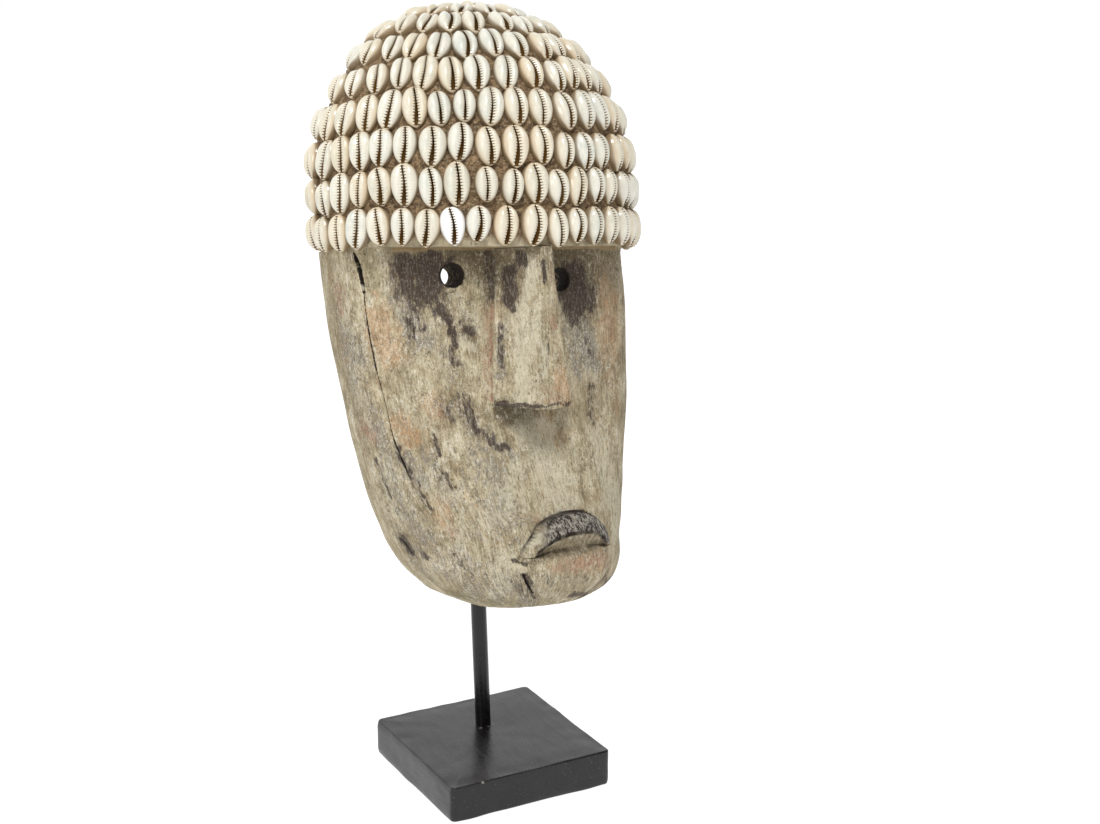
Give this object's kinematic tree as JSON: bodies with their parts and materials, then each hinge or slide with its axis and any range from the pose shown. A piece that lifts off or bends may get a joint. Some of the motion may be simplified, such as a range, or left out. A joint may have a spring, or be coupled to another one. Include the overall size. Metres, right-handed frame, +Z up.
{
  "type": "cowrie shell mask",
  "caption": "Long carved wooden face mask with a cap of cowrie shells set in rows, open at the back, held upright by a black rod on a square black base.",
  "frame": {"origin": "centre of the underside of the square base", "axes": "+Z up, the mask faces -Y, +X to the right of a person who looks at its face"},
  "size_m": [0.1923, 0.1839, 0.4315],
  "materials": {
    "black_painted_wood": "satin black paint",
    "black_painted_steel": "satin black paint",
    "weathered_wood": "matt, limewashed and worn",
    "cowrie_shell": "natural shell gloss"
  },
  "bodies": {
    "root": {"stand_base": "black_painted_wood", "stand_rod": "black_painted_steel", "carved_head": "weathered_wood", "shell_row_1": "cowrie_shell", "shell_row_2": "cowrie_shell", "shell_row_3": "cowrie_shell", "shell_row_4": "cowrie_shell", "shell_row_5": "cowrie_shell", "shell_row_6": "cowrie_shell", "shell_row_7": "cowrie_shell", "shell_row_8": "cowrie_shell", "shell_row_9": "cowrie_shell"}
  },
  "joints": []
}
